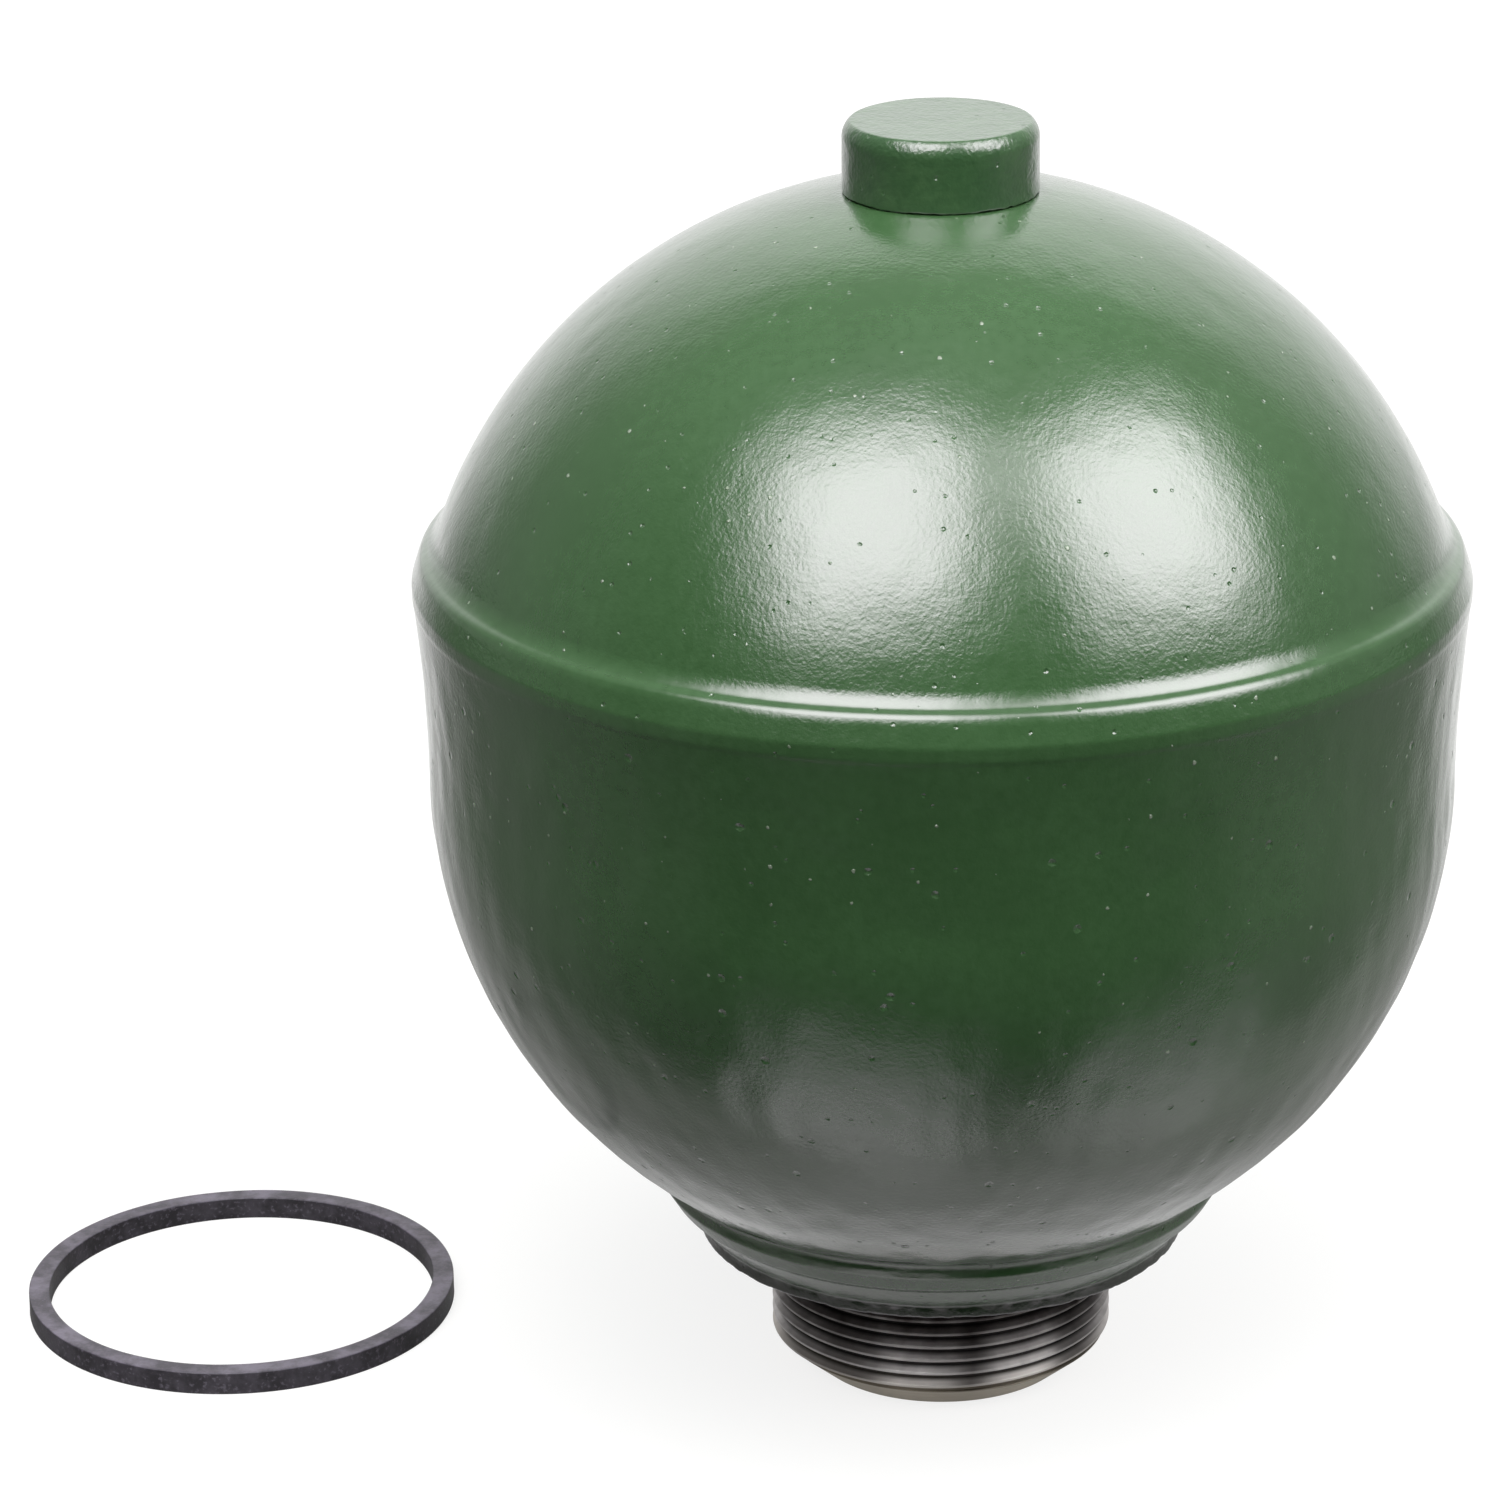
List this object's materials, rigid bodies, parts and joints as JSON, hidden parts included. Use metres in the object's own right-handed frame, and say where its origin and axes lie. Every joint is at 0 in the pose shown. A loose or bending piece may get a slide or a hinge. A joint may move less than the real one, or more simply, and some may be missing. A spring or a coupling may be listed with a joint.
{
  "type": "hydraulic accumulator",
  "caption": "Ball-shaped hydropneumatic accumulator with a threaded neck, a damper in its bore, a diaphragm between gas and oil, a filler cap on top and a loose sealing ring.",
  "frame": {"origin": "centre of the seat face, where the thread meets the collar", "axes": "+Z along the accumulator's axis, from the neck up to the filler cap; the sealing ring lies towards -X"},
  "size_m": [0.1537, 0.108, 0.135],
  "materials": {
    "green_paint": "gloss green enamel with orange peel, over pressed steel",
    "turned_steel": "dark turned steel at the thread, green enamel on the collar",
    "steel_plain": "plain turned steel",
    "zinc_steel": "zinc plated",
    "spring_steel": "blued spring steel",
    "sintered_steel": "matt sintered steel",
    "copper_alloy": "annealed copper",
    "diaphragm_rubber": "moulded rubber",
    "seal_rubber": "dusty black rubber"
  },
  "bodies": {
    "vessel": {"upper_shell": "green_paint", "lower_shell": "green_paint", "filler_cap": "green_paint", "threaded_neck": "turned_steel", "clamp_ring": "steel_plain", "diaphragm": "diaphragm_rubber", "filler_boss": "steel_plain", "filler_seal": "copper_alloy", "filler_screw": "zinc_steel", "damper_body": "sintered_steel", "damper_bolt": "zinc_steel", "damper_nut": "zinc_steel", "retaining_ring": "spring_steel", "sealing_ring": "seal_rubber", "compression_leaf_1": "spring_steel", "compression_leaf_2": "spring_steel", "compression_leaf_3": "spring_steel", "compression_spacer": "spring_steel", "compression_stop": "sintered_steel", "rebound_leaf_1": "spring_steel", "rebound_leaf_2": "spring_steel", "rebound_leaf_3": "spring_steel", "rebound_spacer": "spring_steel", "rebound_stop": "sintered_steel"},
    "button": {"diaphragm_button": "steel_plain"}
  },
  "joints": [
    {"name": "diaphragm_stroke", "type": "slide", "parent": "vessel", "child": "button", "axis": [0, 0, 1], "range_m": [0, 0.0365], "stiffness_N_per_m": 40, "springref_m": -0.005, "deforming": ["diaphragm"]}
  ]
}
